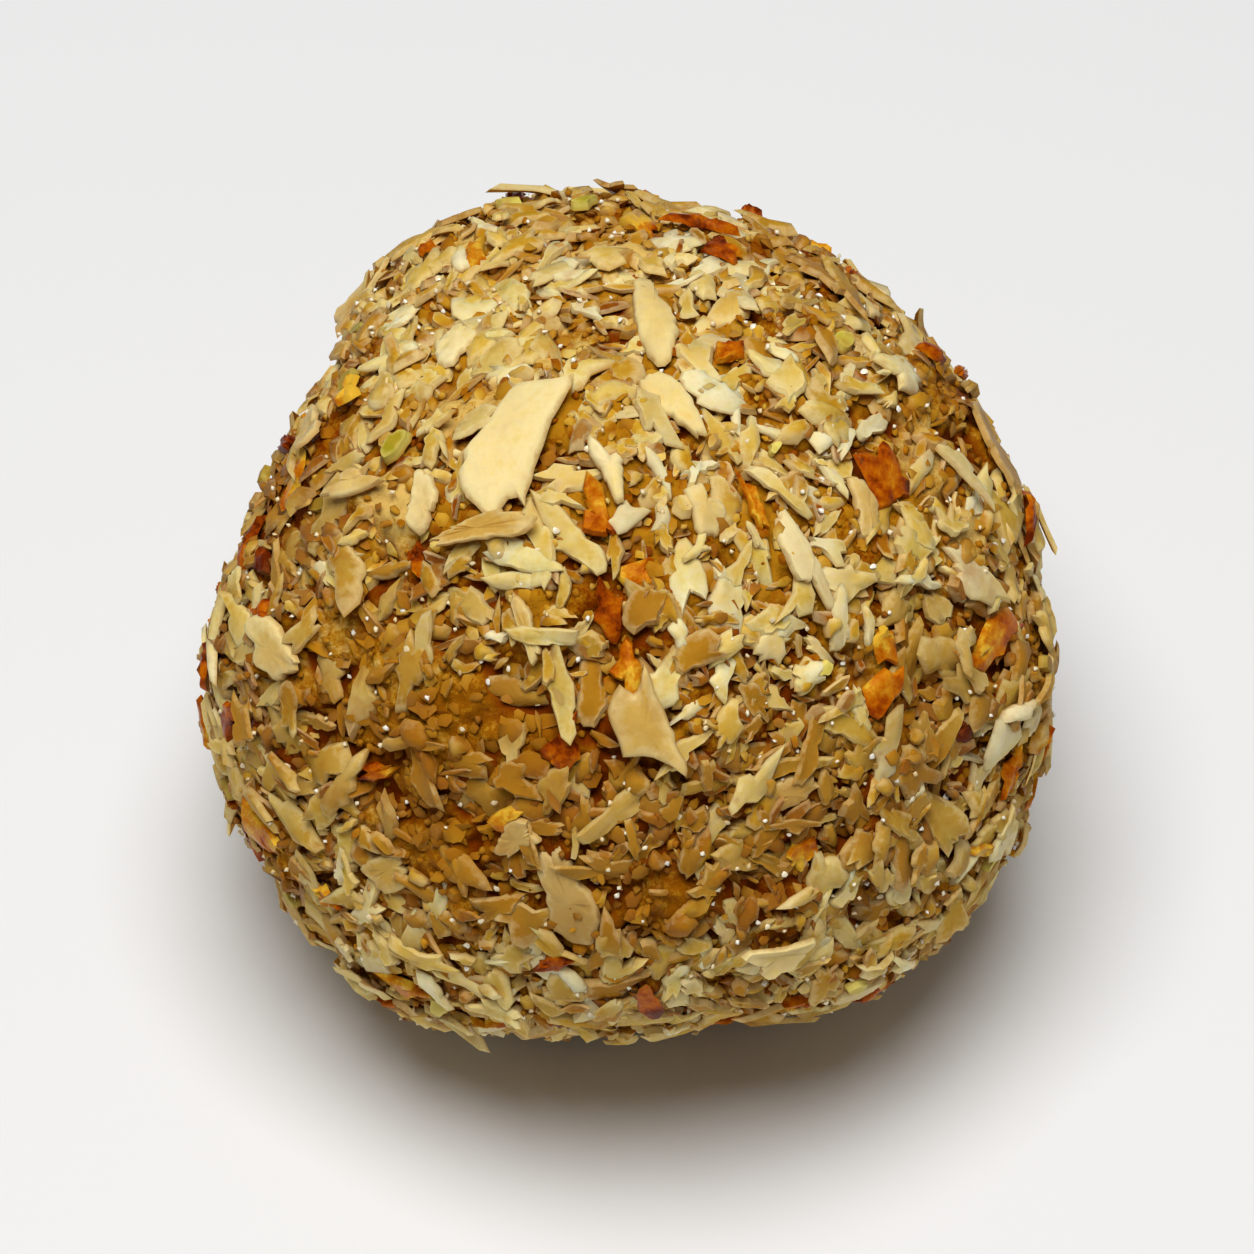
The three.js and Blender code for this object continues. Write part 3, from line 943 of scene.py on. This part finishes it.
# Chopped pistachio: a few thick yellow-green bits, each broken off a kernel. They went in with the
# other nuts, and are stuck down among them.
PISTACHIO = table(PIECE_COLUMNS, [
    (-70, 58, 2.4, 2.1, 135),
    (-71, 46, 3.4, 1.3, 60),
    (-58, -12, 3.0, 2.2, 80),
    (-158, 45, 1.9, 1.2, 125),
    (99, 62, 2.5, 1.4, 135),
    (35, 39, 1.4, 1.0, 20),
    (-7, 16, 2.4, 1.3, 85),
    (-96, 52, 1.7, 1.5, 150),
    (53, 66, 1.1, 0.7, 165),
])
PISTACHIO_ELSEWHERE = {"count": 44, "length": (1.1, 2.8), "slenderness": (0.4, 0.8)}

pistachio_seats, pistachio_lengths, pistachio_widths, pistachio_draw = placed_and_strewn(
    PISTACHIO, PISTACHIO_ELSEWHERE, seed=90)
pistachio_outlines = torn_outlines(pistachio_draw, pistachio_lengths, pistachio_widths, 14, tear=0.3)
lay(pistachio_seats, pistachio_outlines, margin=0.2 * MM)
pistachio_bits = shards(
    "pistachio_bits", pistachio_seats, pistachio_outlines, thickness=0.6 * MM, lift=0.62 * MM, curl=0.1,
    seed=91)
coat(pistachio_bits, nut_finish("pistachio", [
    (0.0, 0.34, 0.30, 0.012), (0.5, 0.54, 0.45, 0.03), (1.0, 0.78, 0.66, 0.14)], smear=0.3,
    rim_highlight=(0.80, 0.70, 0.20)))


# Nut chips are the coat's middle-sized shards, spread evenly all round the ball by the golden
# angle, as rolling spreads them. The base has pressed the lowest ones flush.
CHIP_COUNT = 212
CHIP_LENGTH = (2.8, 5.4)
CHIP_SLENDERNESS = (0.5, 0.9)  # width over length
CHIP_TILT = 0.26  # radians, either way, in the solid
TILT_KEPT = 0.7  # the share of that tilt that the thin shards keep
LENGTH_KEPT, WIDTH_KEPT = 1.1, 0.85  # the same for the size that their outlines start from
CHIP_CLEARANCE = 0.12  # radians from the middle of a chip to that of the nearest flake
LOWEST_CHIP = -0.86  # sine of the height
DRAW_LENGTH, DRAW_TURN, DRAW_PITCH, DRAW_ROLL, DRAW_SLENDERNESS = 2, 3, 4, 5, 6  # as in the solid
PIECE_STEP, PURPOSE_STEP, WAVE_HEIGHT = 127.1, 311.7, 43758.5453  # as in the solid


def solid_draw(pieces, purpose):
    """The draw from 0 to 1 that the solid's chips were made by."""
    wave = np.sin(pieces * PIECE_STEP + purpose * PURPOSE_STEP) * WAVE_HEIGHT
    return wave - np.floor(wave)


chip_directions = even_directions(CHIP_COUNT)
chip_clear = (chip_directions @ flake_directions.T).max(axis=1) < math.cos(CHIP_CLEARANCE)
chip_clear &= ~covered(chip_directions) & (chip_directions[:, 2] >= LOWEST_CHIP)
chip_number = np.flatnonzero(chip_clear)
chip_length = within(CHIP_LENGTH, solid_draw(chip_number, DRAW_LENGTH)) * MM
chip_width = chip_length * within(CHIP_SLENDERNESS, solid_draw(chip_number, DRAW_SLENDERNESS))
chip_tilts = np.stack([solid_draw(chip_number, DRAW_PITCH), solid_draw(chip_number, DRAW_ROLL)], axis=-1)
nut_chips = shards(
    "nut_chips",
    seats(chip_directions[chip_number], solid_draw(chip_number, DRAW_TURN) * math.pi,
          CHIP_TILT * TILT_KEPT * (2 * chip_tilts - 1)),
    torn_outlines(np.random.default_rng(30), LENGTH_KEPT * chip_length, WIDTH_KEPT * chip_width,
                  corners=20, bites=3, lobes=0.32),
    thickness=0.36 * MM, lift=0.6 * MM, curl=0.22, seed=31, rings=(0.5,), cup=0.12 * MM)
CREAM_STEPS = [
    (0.0, 0.47, 0.220, 0.008), (0.2, 0.56, 0.330, 0.032), (0.4, 0.64, 0.43, 0.080),
    (0.6, 0.71, 0.53, 0.160), (0.8, 0.77, 0.63, 0.27), (1.0, 0.83, 0.74, 0.45)]
coat(nut_chips, nut_finish(
    "chipped_nut", CREAM_STEPS, smear=0.6, subsurface=0.3, honey=0.35), stands_for_solid=True)


# Chopped nut, puffed seed and flattened oat make up most of the coat: thousands of thin, torn
# shards that lie over each other at all angles, stuck on by the paste that is smeared between.
def scatter_seats(directions, draw, tilt):
    count = len(directions)
    return seats(directions, draw.uniform(0, math.pi, count), tilt * held_stray(draw, (count, 2)))


def scatter_shards(name, count, length, slenderness, thickness, lift, tilt, corners, curl, seed,
                   favour=1.6, spread_bare=0.3, bevel=0.86, **breaks):
    """Shards all round the ball. A favour over 1 gives more short ones."""
    directions, draw = scattered(count, seed, spread_bare)
    number = len(directions)
    lengths = within(length, draw.random(number) ** favour) * MM
    widths = lengths * within(slenderness, draw.random(number))
    return shards(
        name, scatter_seats(directions, draw, tilt),
        torn_outlines(draw, lengths, widths, corners, **breaks),
        thickness=within(thickness, draw.random(number)) * MM,
        lift=within(lift, draw.random(number)) * MM, curl=curl, seed=seed + 1, bevel=bevel,
        cup=0.13 * MM)


torn_shards = scatter_shards(
    "torn_shards", 2600, length=(2.3, 5.7), slenderness=(0.28, 0.62), thickness=(0.3, 0.52),
    lift=(0.28, 0.72), tilt=0.15, corners=17, curl=0.34, seed=41, favour=1.6, bites=3, tear=0.28,
    lobes=0.34, bevel=0.8, spread_bare=0.08)
coat(torn_shards, nut_finish(
    "torn_nut", CREAM_STEPS, smear=0.65, subsurface=0.3, honey=0.3))

chopped_nut = scatter_shards(
    "chopped_nut", 3700, length=(1.2, 2.9), slenderness=(0.42, 0.85), thickness=(0.45, 0.8),
    lift=(0.0, 0.45), tilt=0.28, corners=10, curl=0.25, seed=51, favour=1.4, tear=0.24, lobes=0.26,
    bevel=0.68, spread_bare=0.3)
# Darker than the cream steps, for pieces that lie lower in the coat: partly their own colour, partly painted
# shade.
MIDDLE_STEPS = [
    (0.0, 0.27, 0.060, 0.0006), (0.3, 0.40, 0.150, 0.003), (0.6, 0.54, 0.300, 0.022),
    (0.85, 0.67, 0.46, 0.105), (1.0, 0.78, 0.63, 0.27)]
coat(chopped_nut, nut_finish("chopped_nut", MIDDLE_STEPS, smear=0.9, honey=0.8))

# The darkest steps, for the oat shreds and crumbs at the bottom of the coat: partly their own colour, partly
# painted shade.
LOWER_STEPS = [
    (0.0, 0.20, 0.032, 0.0004), (0.3, 0.29, 0.076, 0.0008), (0.6, 0.40, 0.150, 0.005),
    (0.85, 0.55, 0.30, 0.032), (1.0, 0.70, 0.50, 0.13)]
oat_shreds = scatter_shards(
    "oat_shreds", 3400, length=(1.2, 3.2), slenderness=(0.16, 0.42), thickness=(0.18, 0.34),
    lift=(0.05, 0.5), tilt=0.3, corners=8, curl=0.35, seed=61, spread_bare=0.55)
coat(oat_shreds, nut_finish("oat_shred", LOWER_STEPS, smear=0.8))


# Crumbs are what chopping leaves: round grains of nut and puffed seed that fill the gaps of the
# coat, and stick to the smears.
GRAIN_SHARP = 75  # degrees
GRAIN_TILT = 0.5  # radians


def grains(name, directions, draw, size, thickness, lift, corners, seed):
    """One mesh of closed grains, one along each direction: a waist between a crown and a root."""
    count = len(directions)
    seat = scatter_seats(directions, draw, GRAIN_TILT)
    lengths = within(size, draw.random(count) ** 1.5) * MM
    edge_x, edge_y = torn_outlines(draw, lengths, lengths * draw.uniform(0.6, 1, count), corners,
                                   snaps=1, bites=0, tear=0.2)
    half = 0.5 * within(thickness, draw.random((count, 1))) * MM
    x, y = (np.hstack([edge, np.zeros((count, 2))]) for edge in (edge_x, edge_y))
    z = np.hstack([np.zeros((count, corners)), half, -half])
    z += within(lift, draw.random((count, 1))) * MM
    faces = []
    for near in range(corners):
        far = (near + 1) % corners
        faces.append((near, far, corners))
        faces.append((far, near, corners + 1))
    piece = joined_mesh(name, seat, x, y, z, faces, np.random.default_rng(seed))
    store(piece, "rim", np.zeros(x.shape))
    smooth_by_angle(piece, GRAIN_SHARP)
    return piece


crumb_directions, crumb_draw = scattered(9600, seed=70, spread_bare=0.85, beneath=True)
fine_crumbs = grains("fine_crumbs", crumb_directions, crumb_draw, size=(0.5, 1.3), thickness=(0.35, 0.7),
                     lift=(-0.05, 0.38), corners=6, seed=71)
coat(fine_crumbs, nut_finish("crumb", LOWER_STEPS, smear=0.6))


# Seeds and sugar grains: tiny, hard, round and off-white, they sparkle all over the coat. They are
# strewn last, and stick wherever they meet paste or syrup.
def seed_finish():
    finish, shader = new_finish("seed", roughness=0.22, specular=0.6)
    colour = colour_steps(finish, attribute_value(finish, "tone"), [
        (0.0, 0.74, 0.54, 0.24), (0.5, 0.84, 0.72, 0.46), (1.0, 0.94, 0.90, 0.78)])
    feed(finish, colour, shader.inputs["Base Color"])
    return finish


seed_directions, seed_draw = scattered(2600, seed=100, spread_bare=0.4)
seeds = grains("seeds", seed_directions, seed_draw, size=(0.28, 0.5), thickness=(0.26, 0.42),
               lift=(0.35, 0.85), corners=6, seed=101)
coat(seeds, seed_finish())


# The floor is plain, pale and matt, and the light is one large, round, soft lamp overhead, in a
# room that is evenly bright.
FLOOR_SIZE = 3.0
FLOOR_TONE = (0.82, 0.82, 0.82)
LAMP_PLACE = (-0.03, -0.1, 0.59)
LAMP_SIZE = 0.37
LAMP_POWER = 3.69
ROOM_BRIGHTNESS = 0.13

bpy.ops.object.select_all(action="DESELECT")
bpy.ops.mesh.primitive_plane_add(size=FLOOR_SIZE)
floor = bpy.context.object
floor.name = "floor"
floor_finish, floor_shader = new_finish("floor", roughness=0.7)
floor_shader.inputs["Base Color"].default_value = (*FLOOR_TONE, 1)
floor.data.materials.append(floor_finish)

lamp_data = bpy.data.lights.new("overhead", "AREA")
lamp_data.shape = "DISK"
lamp_data.size = LAMP_SIZE
lamp_data.energy = LAMP_POWER
lamp = add_object("overhead", lamp_data)
lamp.location = LAMP_PLACE
lamp.rotation_euler = (Vector(LAMP_PLACE) - VIEW_AIM).to_track_quat("Z", "Y").to_euler()

room = bpy.data.worlds.new("room")
room.use_nodes = True
background = room.node_tree.nodes["Background"]
background.inputs["Color"].default_value = (1.0, 1.0, 1.0, 1)
background.inputs["Strength"].default_value = ROOM_BRIGHTNESS
bpy.context.scene.world = room
bpy.context.scene.view_settings.view_transform = "Standard"
